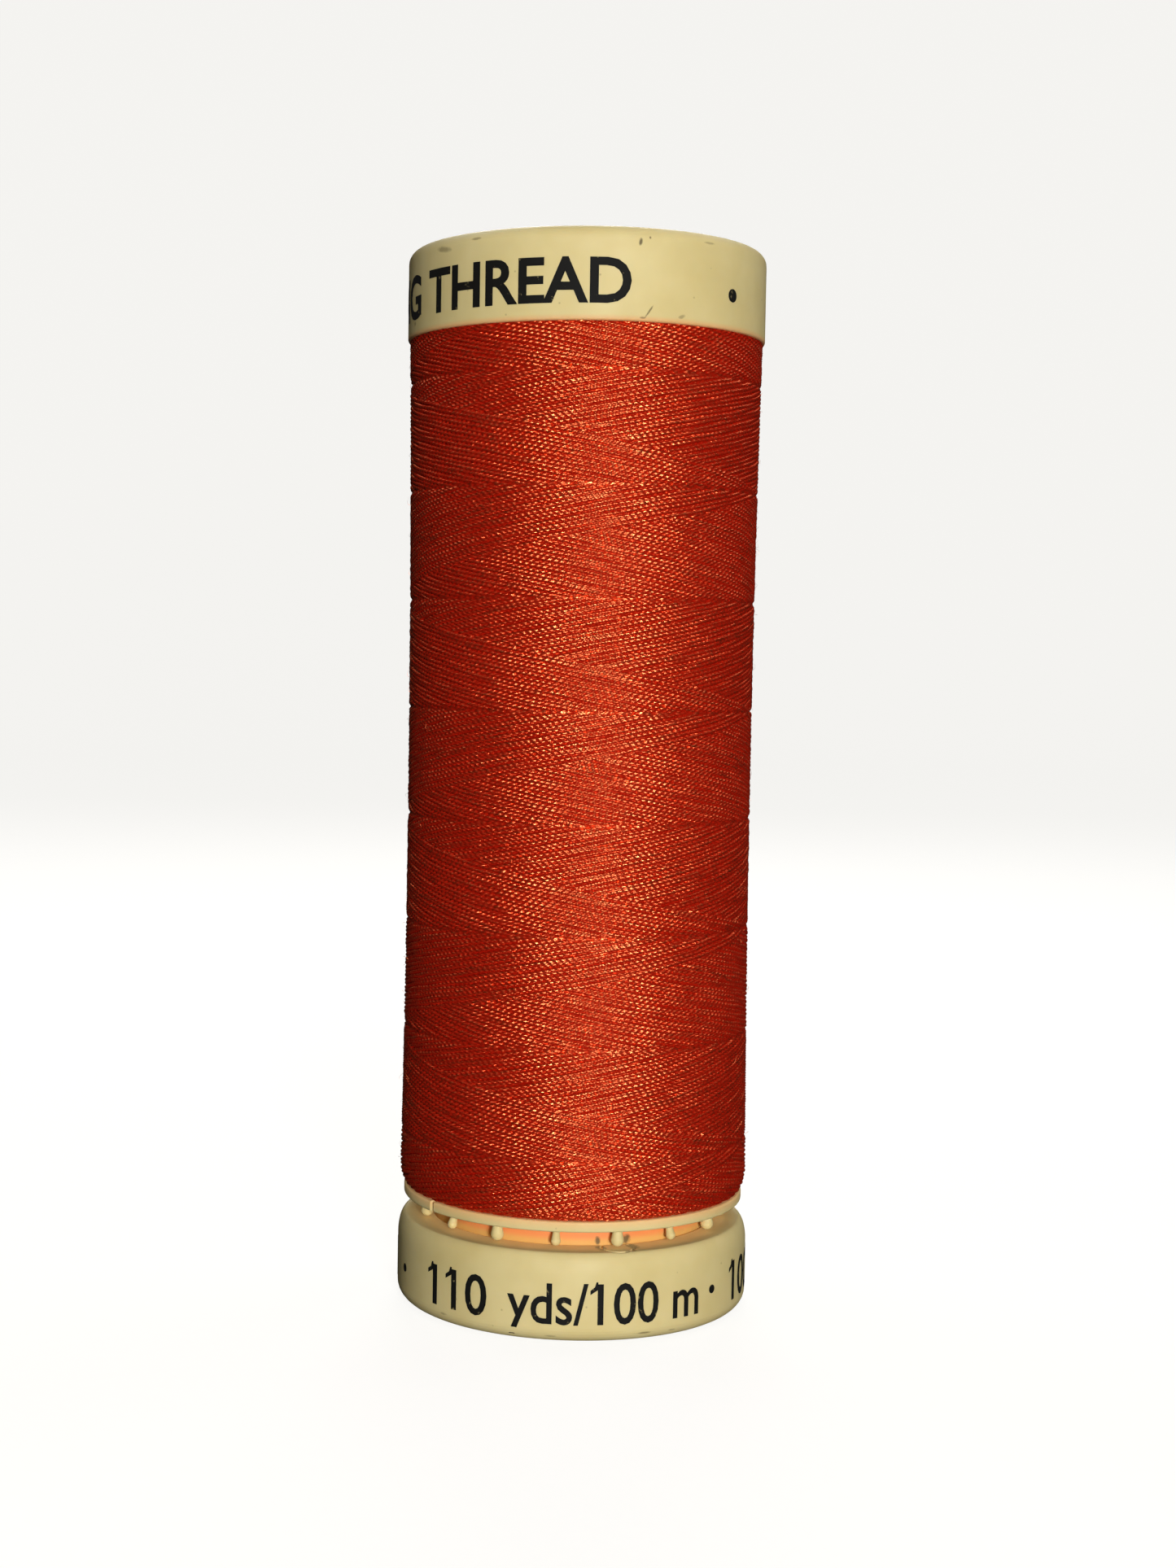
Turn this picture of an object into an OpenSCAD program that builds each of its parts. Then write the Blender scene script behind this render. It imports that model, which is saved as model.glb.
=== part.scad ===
// Spool of sewing thread. A hollow moulded barrel carries the wound thread between a lip
// and a flange. A cap is pressed over the flange at the top. The base is a second cap,
// which snaps over the barrel's neck and slides on it. Its top is the thread groove's
// floor: the spool is drawn up out of it to take the thread's end, and pushed down to grip it.
// Millimetres. Z runs up the spool's axis, and Z = 0 is the face that it stands on.

/* [Whole spool] */
// Height from the face it stands on to the top rim
spool_h = 62; // [50:0.5:90]
// Outer radius of the top collar, which the other radii are worked out from
collar_r = 10.5; // [10:0.1:12.5]
// Radius of the hole for the machine's spool pin
pin_r = 4; // [3:0.1:4.1]

/* [Top collar] */
// Height of the top collar's side
collar_h = 5.2; // [4:0.1:8]
// Wall thickness of the top collar
collar_wall = 1.1; // [0.9:0.05:1.2]
// Rounding of the top rim's outer edge
collar_round = 0.7; // [0.2:0.1:1]

/* [Sliding base] */
// Height of the base, from the foot to the groove's floor
base_h = 5.1; // [5:0.05:8]
// Height of the groove between its floor and the lip, with the teeth on the floor
groove_h = 1.15; // [1.1:0.05:1.4]
// How far the base slides to free the thread
travel = 0.85; // [0.5:0.05:0.9]
// Height of the shoulder's curve, below the groove's floor
shoulder_h = 1.3; // [1:0.05:2]
// Rounding at the foot
foot_round = 0.9; // [0.3:0.1:1]

/* [Barrel] */
// Wall thickness of the barrel
barrel_wall = 1.1; // [0.8:0.05:1.3]
// Thickness of the lip under the winding
lip_t = 0.6; // [0.4:0.05:0.8]
// Number of large teeth that hang from the lip, with a small one after each
teeth = 8; // [4:1:10]

/* [Thread] */
// Diameter of the thread
thread_d = 0.24; // [0.15:0.01:0.26]
// How much thinner the winding is at its waist than at its ends
waist = 0.2; // [0:0.05:0.5]

/* [Hidden] */
round_fn = 96;
small_fn = 24;
plastic = [0.88, 0.82, 0.58];
thread_colour = [0.80, 0.20, 0.08];
paper = [0.93, 0.91, 0.84];

// Heights, from the foot up
lip_z = base_h + groove_h;
wind_z0 = lip_z + lip_t;
wind_z1 = spool_h - collar_h;
recess = 0.5;
disc_t = 1;
disc_z = spool_h - recess - disc_t;
base_disc_t = 0.7;
neck_z = 2.15;
flange_t = 0.8;

// Radii, from the outside in
base_r = collar_r - 0.05;
wind_r = collar_r - 0.1;
lip_r = collar_r - 0.38;
core_r = collar_r - 2.1;
neck_r = core_r - 0.15;
barrel_in = core_r - barrel_wall;
flange_r = collar_r - collar_wall;
cavity_r = collar_r - 1.25;
tube_r = pin_r + 0.8;
base_hole_r = pin_r + 0.2;

// The snap: a bead round the neck's end, which stops the base's inner edge
bead_h = 0.5;
bead_r = neck_r + 0.45;
edge_z = neck_z + bead_h + 0.05 + travel;
edge_r = neck_r + 0.08;

// Teeth: length, radius of the large teeth's row, and radii of a tooth's two ends
tooth_l = groove_h - 0.05;
tooth_row = neck_r + 0.7;
tooth_end = 0.38;
tooth_root = 0.2;
small_row = neck_r + 0.4;
small_end = 0.28;
small_root = 0.14;
small_lean = 17;
tooth_first = 17;

// The slot through the lip, where the thread's end leaves the winding
slot_angle = -53;
slot_w = 0.36;
ring_r = neck_r + thread_d / 2;
ring_z = lip_z - 0.25;
tail_sides = 8;
tail_turn = 300;

// Ring in the groove's floor, round one tooth, where the mould's ejector pin stood
mark_r = 1.04;
mark_w = 0.2;
mark_depth = 0.16;
mark_row = neck_r + 0.8;

// Ribs between the spindle tube and the barrel
ribs = 4;
rib_t = 0.8;
rib_end = 0.6;

// Labels
label_t = 0.15;
label_gap = 0.25;
base_recess = 0.5;

// Points of an arc about c, from angle a0 to a1, with radii rx across and ry up
function arc(c, rx, ry, a0, a1, n = 6) =
    [for (i = [0:n]) let (a = a0 + (a1 - a0) * i / n) c + [rx * cos(a), ry * sin(a)]];

// Turns a shape drawn on the front of the spool to its place round the axis, where
// angle 0 is the front, towards -Y, and positive angles go towards +X
module at_angle(a) rotate([0, 0, a]) children();

// Radius of the winding's surface at height z: waisted, with a rounded lower edge
wind_mid = (wind_z0 + wind_z1) / 2;
wind_half = (wind_z1 - wind_z0) / 2;
edge_h = 1.3;
edge_in = 0.55;
function waisted(z) = wind_r - waist + waist * pow((z - wind_mid) / wind_half, 2);
function edge(z) = z > wind_z0 + edge_h ? 0
    : edge_in * (1 - sqrt(1 - pow(1 - (z - wind_z0) / edge_h, 2)));
function wind_surface(z) = waisted(z) - edge(z);

// A tooth with its root at the origin, hanging down, drop-shaped
module tooth(length, root, end) {
    translate([0, 0, -length])
        rotate_extrude($fn = small_fn)
            polygon(concat([[0, 0]], arc([0, end], end, end, -80, 25, 8),
                           [[root, length], [0, length]]));
}

module teeth_ring() {
    for (i = [0:teeth - 1]) {
        at_angle(tooth_first + i * 360 / teeth)
            translate([0, -tooth_row, lip_z + lip_t / 4])
                tooth(tooth_l + lip_t / 4, tooth_root, tooth_end);
        at_angle(tooth_first + (i + 0.5) * 360 / teeth)
            translate([0, -small_row, lip_z + lip_t / 4])
                rotate([-small_lean, 0, 0])
                    tooth(tooth_l + lip_t / 4, small_root, small_end);
    }
}

module lip_slot() {
    at_angle(slot_angle)
        translate([-slot_w / 2, -lip_r - 1, lip_z - 0.01])
            cube([slot_w, lip_r + 1 - core_r, lip_t + 0.02]);
}

module ejector_mark() {
    at_angle(tooth_first)
        translate([0, -mark_row, base_h - mark_depth])
            difference() {
                cylinder(r = mark_r, h = 1, $fn = round_fn);
                translate([0, 0, -1])
                    cylinder(r = mark_r - mark_w, h = 3, $fn = round_fn);
            }
}

module spool_barrel() {
    lip_round = 0.12;
    color(plastic) {
        difference() {
            rotate_extrude($fn = round_fn)
                polygon(concat(
                    [[barrel_in, neck_z], [neck_r, neck_z], [bead_r, neck_z + bead_h / 2],
                     [bead_r, neck_z + bead_h], [neck_r, neck_z + bead_h], [neck_r, lip_z]],
                    arc([lip_r - lip_round, lip_z + lip_round], lip_round, lip_round, -90, 0, 4),
                    arc([lip_r - lip_round, wind_z0 - lip_round], lip_round, lip_round, 0, 90, 4),
                    [[core_r, wind_z0], [core_r, wind_z1], [flange_r, wind_z1],
                     [flange_r, wind_z1 + flange_t], [core_r, wind_z1 + flange_t],
                     [core_r, disc_z], [barrel_in, disc_z]]));
            lip_slot();
        }
        teeth_ring();
    }
}

module top_collar() {
    lower_round = 0.15;
    rim_round = 0.3;
    rim_in = flange_r - 0.1;
    color(plastic)
        rotate_extrude($fn = round_fn)
            polygon(concat(
                [[flange_r, wind_z1]],
                arc([collar_r - lower_round, wind_z1 + lower_round],
                    lower_round, lower_round, -90, 0, 4),
                arc([collar_r - collar_round, spool_h - collar_round],
                    collar_round, collar_round, 0, 90, 8),
                arc([rim_in + rim_round, spool_h - rim_round], rim_round, rim_round, 90, 180, 5),
                [[rim_in, disc_z + disc_t], [tube_r, disc_z + disc_t], [tube_r, disc_z],
                 [flange_r, disc_z]]));
}

module base_collar() {
    shoulder_in = 0.5;
    floor_round = 0.12;
    rim_in = flange_r - 0.1;
    disc_top = base_recess + base_disc_t;
    color(plastic)
        difference() {
            rotate_extrude($fn = round_fn)
                polygon(concat(
                    [[rim_in, 0]],
                    arc([base_r - foot_round, foot_round], foot_round, foot_round, -90, 0, 8),
                    arc([base_r - shoulder_in, base_h - shoulder_h],
                        shoulder_in, shoulder_h, 0, 90, 10),
                    arc([edge_r + floor_round, base_h - floor_round],
                        floor_round, floor_round, 90, 180, 4),
                    [[edge_r, edge_z], [cavity_r, edge_z], [cavity_r, disc_top],
                     [base_hole_r, disc_top], [base_hole_r, base_recess],
                     [rim_in, base_recess]]));
            ejector_mark();
        }
}

module spindle_tube() {
    color(plastic) {
        rotate_extrude($fn = round_fn)
            polygon([[pin_r, neck_z], [tube_r, neck_z], [tube_r, disc_z + disc_t],
                     [pin_r, disc_z + disc_t]]);
        for (i = [0:ribs - 1])
            rotate([0, 0, (i + 0.5) * 360 / ribs])
                intersection() {
                    translate([pin_r + 0.4, -rib_t / 2, neck_z + rib_end])
                        cube([barrel_in, rib_t, disc_z - neck_z - 2 * rib_end]);
                    cylinder(r = barrel_in, h = spool_h, $fn = round_fn);
                }
    }
}

module thread_winding() {
    steps = 24;
    edge_steps = 8;
    rows = concat([for (i = [0:edge_steps - 1]) wind_z0 + edge_h * pow(i / edge_steps, 2)],
                  [for (i = [0:steps]) let (z0 = wind_z0 + edge_h) z0 + (wind_z1 - z0) * i / steps]);
    color(thread_colour)
        rotate_extrude($fn = round_fn)
            polygon(concat([[core_r, wind_z0]], [for (z = rows) [wind_surface(z), z]],
                           [[core_r, wind_z1]]));
}

// Route of the thread's end, as [radius, height, angle]: down through the lip's slot,
// then most of the way round the neck, close under the lip and behind the teeth
tail_drop = [[9.70, 0.60, 0], [9.60, 0.36, 0], [9.35, 0.21, 0], [9.00, 0.10, 0],
             [8.70, -0.02, 0], [8.52, -0.14, 0.4], [8.41, -0.22, 1.8]];
tail_route = concat(
    [for (p = tail_drop) [p[0] + core_r - 8.4, lip_z + p[1], slot_angle + p[2]]],
    [for (a = [4:6:tail_turn]) [ring_r, ring_z, slot_angle + a]]);

module thread_tail() {
    points = [for (p = tail_route) [p[0] * sin(p[2]), -p[0] * cos(p[2]), p[1]]];
    last = len(points) - 1;
    function heading(i) =
        let (d = points[min(i + 1, last)] - points[max(i - 1, 0)]) d / norm(d);
    function unit(v) = v / norm(v);
    rings = [for (i = [0:last])
        let (t = heading(i), u = unit(cross([0, 0, 1], t)), v = cross(t, u))
            [for (k = [0:tail_sides - 1])
                let (a = k * 360 / tail_sides)
                    points[i] + thread_d / 2 * (u * cos(a) + v * sin(a))]];
    sides = [for (i = [0:last - 1], k = [0:tail_sides - 1])
        let (n = (k + 1) % tail_sides)
            [i * tail_sides + k, i * tail_sides + n, (i + 1) * tail_sides + n,
             (i + 1) * tail_sides + k]];
    start_cap = [[for (k = [tail_sides - 1:-1:0]) k]];
    end_cap = [[for (k = [0:tail_sides - 1]) last * tail_sides + k]];
    color(thread_colour)
        polyhedron([for (r = rings, p = r) p], concat(sides, start_cap, end_cap));
}

module label(z) {
    color(paper)
        translate([0, 0, z])
            difference() {
                cylinder(r = flange_r - 0.1 - label_gap, h = label_t, $fn = round_fn);
                translate([0, 0, -1])
                    cylinder(r = tube_r + label_gap, h = 3, $fn = round_fn);
            }
}

module top_label() label(disc_z + disc_t);

module base_label() label(base_recess - label_t);

spool_barrel();
top_collar();
base_collar();
spindle_tube();
thread_winding();
thread_tail();
top_label();
base_label();
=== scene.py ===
"""Spool of sewing thread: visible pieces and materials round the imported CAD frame.

Laid out as an add-on. The frame is loaded first, so that sizes come from it. Lengths are in
millimetres in the sums and in metres on every Blender object.
"""

import math

import bmesh
import bpy
import numpy as np
from mathutils import Matrix, Vector


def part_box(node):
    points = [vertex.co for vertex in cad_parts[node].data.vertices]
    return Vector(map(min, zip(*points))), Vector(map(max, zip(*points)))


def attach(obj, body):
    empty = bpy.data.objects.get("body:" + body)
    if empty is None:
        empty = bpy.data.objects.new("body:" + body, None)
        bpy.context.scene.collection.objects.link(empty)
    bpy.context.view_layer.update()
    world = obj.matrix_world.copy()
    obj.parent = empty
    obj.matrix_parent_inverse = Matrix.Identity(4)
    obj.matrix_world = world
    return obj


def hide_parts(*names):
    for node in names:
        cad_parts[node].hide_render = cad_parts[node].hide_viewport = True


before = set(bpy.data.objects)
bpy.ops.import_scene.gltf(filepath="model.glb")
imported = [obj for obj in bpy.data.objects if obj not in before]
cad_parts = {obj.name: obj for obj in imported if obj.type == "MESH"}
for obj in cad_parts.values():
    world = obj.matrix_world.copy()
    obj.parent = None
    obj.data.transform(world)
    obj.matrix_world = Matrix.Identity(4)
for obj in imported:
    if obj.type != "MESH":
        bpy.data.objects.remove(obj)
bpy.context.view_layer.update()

bl_info = {
    "name": "Thread spool",
    "version": (1, 0, 0),
    "blender": (4, 5, 0),
    "location": "3D View > Sidebar > Spool",
    "description": "Builds the wound thread, the print and the finishes of a sewing thread spool",
    "category": "Object",
}

MM = 0.001
TAU = 2 * math.pi
UP = Vector((0, 0, 1))


def node_span(name):
    """Outer radius, lowest and highest point of a round CAD node, in millimetres."""
    low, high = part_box(name)
    return high.x / MM, low.z / MM, high.z / MM


COLLAR_R, COLLAR_Z0, COLLAR_Z1 = node_span("top_collar")
BASE_R, _, BASE_Z1 = node_span("base_collar")
WIND_R, WIND_Z0, WIND_Z1 = node_span("thread_winding")

# Sizes that no box gives: the lip under the winding, and the barrel's wall and neck inside it
LIP_T = 0.6
CORE_IN = 2.1
NECK_IN = 0.15
LIP_Z = WIND_Z0 - LIP_T
CORE_R = COLLAR_R - CORE_IN
NECK_R = CORE_R - NECK_IN


# Sizes and colours that a user would change

def length(name, description, default, **limits):
    """A length property, a plain number of millimetres."""
    return bpy.props.FloatProperty(name=name, description=description, default=default, **limits)


def colour(name, description, default):
    """A colour property, from an sRGB hex value."""
    return bpy.props.FloatVectorProperty(
        name=name, description=description, default=linear(default), subtype="COLOR",
        size=3, min=0, max=1)


def linear(hex_value):
    """The linear colour of an sRGB hex value such as "E0D293"."""
    parts = [int(hex_value[i:i + 2], 16) / 255 for i in (0, 2, 4)]
    return tuple(c / 12.92 if c <= 0.04045 else ((c + 0.055) / 1.055) ** 2.4 for c in parts)


class SPOOL_PG_thread(bpy.types.PropertyGroup):
    """The thread and how it is wound."""

    diameter: length("Diameter", "Thread diameter in millimetres", 0.24, min=0.1, max=0.6)
    pitch: length("Pitch", "Rise of one turn of thread in millimetres", 12.6, min=2, max=30)
    twist: length("Twist", "Length of one whole turn of the two plies in millimetres", 0.72,
                  min=0.3, max=3)
    loose: bpy.props.FloatProperty(
        name="Looseness", description="How far the threads wander from their lines, in threads",
        default=0.16, min=0, max=0.5)
    dye: colour("Dye", "Colour of the dyed thread in full light", "9C0D05")
    # shade is partly painted shade: the colour deep between the threads, and of darker fibres
    shade: colour("Deep dye", "Colour deep between the threads", "9A1406")
    glint: colour("Glint", "Colour of the fibres' soft shine", "FF8450")


class SPOOL_PG_plastic(bpy.types.PropertyGroup):
    """The moulded pieces and their print."""

    ivory: colour("Ivory", "Colour of the moulded plastic", "D0BF88")
    aged: colour("Aged ivory", "Colour where handling and light have yellowed it", "C7B47A")
    # painted light: the thread's orange light thrown onto the plastic beside it
    painted_thread_bounce: colour("Salmon", "Colour that the plastic takes right beside the thread", "DD824A")
    # painted light in the groove: light come through the plastic and thrown from the thread
    painted_groove_glow: colour("Amber", "Colour of the groove, by light that came through the plastic",
                  "D29E55")
    dirt: colour("Dirt", "Colour of specks, rubs and scratches", "5A4A2C")
    ink: colour("Ink", "Colour of the print", "0E0D0A")
    ink_t: length("Ink thickness", "How far the print stands proud in millimetres", 0.012,
                  min=0.002, max=0.1)


class SPOOL_PG_stage(bpy.types.PropertyGroup):
    """Floor, lights and camera."""

    floor: colour("Floor", "Colour of the floor and backdrop", "F6F5F2")
    key_power: bpy.props.FloatProperty(
        name="Key light", description="Power of the key light", default=1.2, min=0,
        unit="POWER")
    back_power: bpy.props.FloatProperty(
        name="Back lights", description="Power of each light behind the spool", default=0.24,
        min=0, unit="POWER")
    world: bpy.props.FloatProperty(
        name="Ambient", description="Strength of the light from all round", default=0.018, min=0)


# Small tools

def settings(context):
    """The three property groups."""
    scene = context.scene
    return scene.spool_thread, scene.spool_plastic, scene.spool_stage


def add_node(tree, kind, inputs=None, **own):
    """Adds one node. own sets its own properties, and inputs sets its sockets by name or number:
    a socket given there is linked, and anything else is a plain value."""
    node = tree.nodes.new(kind)
    for name, value in own.items():
        setattr(node, name, value)
    for name, value in (inputs or {}).items():
        if isinstance(value, bpy.types.NodeSocket):
            tree.links.new(value, node.inputs[name])
        else:
            node.inputs[name].default_value = value
    return node


def new_material(name):
    """An empty node material and its tree."""
    material = bpy.data.materials.new(name)
    material.use_nodes = True
    material.node_tree.nodes.clear()
    return material, material.node_tree


def rgba(colour_value):
    """A linear colour with full alpha, for a socket."""
    return (*colour_value, 1.0)


def new_object(name, mesh, material):
    """An object in the scene with one material."""
    piece = bpy.data.objects.new(name, mesh)
    bpy.context.scene.collection.objects.link(piece)
    mesh.materials.clear()
    mesh.materials.append(material)
    return piece


def finish_piece(piece, body):
    """Says which body a piece moves with."""
    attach(piece, body)
    return piece


def mesh_from_grid(name, points, normals=None, closed=False):
    """A smooth mesh from a grid of points, rows by columns, whose columns close on themselves.
    With closed, the last row joins the first as well, which makes a ring solid."""
    rows, columns = points.shape[:2]
    row = np.arange(rows if closed else rows - 1)[:, None] * columns
    above = ((np.arange(len(row)) + 1) % rows)[:, None] * columns
    here = np.arange(columns)[None, :]
    beside = (here + 1) % columns
    faces = np.stack([row + here, row + beside, above + beside, above + here], -1)
    faces = faces.reshape(-1, 4).astype(np.int32)
    mesh = bpy.data.meshes.new(name)
    mesh.vertices.add(rows * columns)
    mesh.vertices.foreach_set("co", (points * MM).astype(np.float32).ravel())
    mesh.loops.add(faces.size)
    mesh.loops.foreach_set("vertex_index", faces.ravel())
    mesh.polygons.add(len(faces))
    mesh.polygons.foreach_set("loop_start", np.arange(len(faces), dtype=np.int32) * 4)
    mesh.update(calc_edges=True)
    mesh.polygons.foreach_set("use_smooth", np.ones(len(faces), bool))
    if normals is not None:
        mesh.normals_split_custom_set_from_vertices(normals.reshape(-1, 3).tolist())
    return mesh


def closed_mesh(name, shape):
    """A mesh from a bmesh, with its faces turned outwards. The bmesh is freed."""
    bmesh.ops.recalc_face_normals(shape, faces=shape.faces)
    mesh = bpy.data.meshes.new(name)
    shape.to_mesh(mesh)
    shape.free()
    return mesh


# The wound thread

# The winding's shape: its rounded lower edge, and how much thinner it is at its waist
EDGE_H = 1.3
EDGE_IN = 0.55
WAIST = 0.2
# The angle and height where both families are a quarter of the way from oldest to newest
LAY_AT = (-10, 3.875)
# How far the oldest threads lie below the newest, and one family below the other
LAYER_SINK = 0.05
UNDER = 0.2
# How many threads wide the change is where one family comes out on top
CHANGE = 1.6
# A ply's distance from the thread's centre, as a share of the thread's radius
PLY_OFFSET = 0.4
# How much fatter a ply is than its share of the thread, packed on the spool and loose
PLY_PACKED = 1.12
PLY_LOOSE = 1.05
# Depths in thread diameters: where the painted shade between threads is full, and the
# bottom of the gaps
VALLEY = 0.6
GAP = 0.8
# How fast the painted shade deepens from a thread's crown
FALL = 1.4
# Waves along a thread, each as size and length in millimetres: the two parts of its wander,
# as shares of the looseness, then its swelling, as a share, and its lift in millimetres
WANDERS = ((0.6, 9.1), (0.4, 3.7))
SWELL = (0.05, 2.3)
LIFT = (0.012, 5.3)


def winding_radius(z):
    """Radius of the winding's outside at height z: waisted, with a rounded lower edge."""
    middle, half = (WIND_Z0 + WIND_Z1) / 2, (WIND_Z1 - WIND_Z0) / 2
    waisted = WIND_R - WAIST + WAIST * ((z - middle) / half) ** 2
    depth = np.clip(1 - (z - WIND_Z0) / EDGE_H, 0, 1)
    return waisted - EDGE_IN * (1 - np.sqrt(1 - depth ** 2))


class Lay:
    """One of the two crossing families of thread, rising to the right (sign 1) or falling."""

    def __init__(self, thread, sign, seed):
        self.sign, self.pitch, self.d = sign, thread.pitch, thread.diameter
        self.helix = math.atan(thread.pitch / (TAU * (WIND_R - WAIST)))
        self.count = round(thread.pitch * math.cos(self.helix) / thread.diameter)
        self.twist, self.loose = thread.twist, thread.loose
        chance = np.random.default_rng(seed)
        # one row for each wave and one for the twist, and a spare one
        self.phase = chance.uniform(0, TAU, (6, self.count))
        self.plump = chance.uniform(-0.08, 0.06, self.count)
        self.tone = chance.uniform(0.72, 1.0, self.count)

    def recency(self, angle, z):
        """How lately the thread at a place was laid, from 0 to 1."""
        turn = (angle - math.radians(LAY_AT[0])) / TAU + 0.25
        return (turn - self.sign * (z - LAY_AT[1]) / self.pitch) % 1.0

    def wave(self, row, size_and_length, along, k):
        """One wave along thread k, with its own phase."""
        size, wavelength = size_and_length
        return size * np.sin(TAU * along / wavelength + self.phase[row][k])

    def relief(self, angle, z):
        """Height of the family's own surface above a level one, 0 at a thread's crown, and
        the painted shade at each place, times the thread's own tone: 1 on a pale thread's
        crown, 0 deep between two threads."""
        place = self.recency(angle, z) * self.count
        best = np.full(place.shape, -self.d)
        tone = np.ones(place.shape)
        for step in (-1, 0, 1):
            index = np.floor(place) + step
            off = (place - index - 0.5) * self.d
            k = index.astype(int) % self.count
            along = (z + self.sign * off * math.cos(self.helix)) / (
                self.sign * math.sin(self.helix))
            wander = self.loose * self.d * (
                self.wave(0, WANDERS[0], along, k) + self.wave(1, WANDERS[1], along, k))
            fat = 1 + self.plump[k] + self.wave(2, SWELL, along, k)
            lift = self.wave(3, LIFT, along, k)
            side = wander - off
            turned = TAU * along / self.twist + self.phase[4][k]
            for ply in (0, math.pi):
                centre = PLY_OFFSET * self.d / 2 * np.cos(turned + ply)
                rise = PLY_OFFSET * self.d / 2 * np.sin(turned + ply)
                radius = (1 - PLY_OFFSET) * self.d / 2 * fat * PLY_PACKED
                inside = radius ** 2 - (side - centre) ** 2
                crown = rise + np.sqrt(np.maximum(inside, 0)) - self.d / 2 + lift
                above = (inside > 0) & (crown > best)
                best = np.where(above, crown, best)
                tone = np.where(above, self.tone[k], tone)
        # painted shade: darker from each thread's crown down into the gaps, times its own tone
        light = np.clip(1 + best / (VALLEY * self.d), 0, 1) ** FALL
        return best, light * tone


def winding_surface(thread, angle, z):
    """Radius of the outermost thread at every angle and height, and its painted shade there."""
    rising, falling = Lay(thread, 1, 11), Lay(thread, -1, 12)
    newer_up, newer_down = rising.recency(angle, z), falling.recency(angle, z)
    order = np.clip((newer_up - newer_down) * rising.count / CHANGE, -1, 1)
    up, up_painted_shade = rising.relief(angle, z)
    down, down_painted_shade = falling.relief(angle, z)
    up, down = up - UNDER / 2 * (1 - order), down - UNDER / 2 * (1 + order)
    height = np.maximum(np.maximum(up, down), -GAP * thread.diameter)
    sink = LAYER_SINK * (2 - newer_up - newer_down) / 2
    return winding_radius(z) + height - sink, np.where(up > down, up_painted_shade, down_painted_shade)


def on_cylinder(radius, angle, z):
    """Points at an angle round the axis, where 0 is the front and positive goes towards +X."""
    radius, angle, z = np.broadcast_arrays(radius, angle, z)
    return np.stack([radius * np.sin(angle), -radius * np.cos(angle), z], -1)


def surface_normals(points):
    """Normals of a grid of points whose columns close on themselves."""
    across = np.roll(points, -1, 1) - np.roll(points, 1, 1)
    up = np.gradient(points, axis=0)
    normal = np.cross(across, up)
    return normal / np.linalg.norm(normal, axis=-1, keepdims=True)


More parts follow.
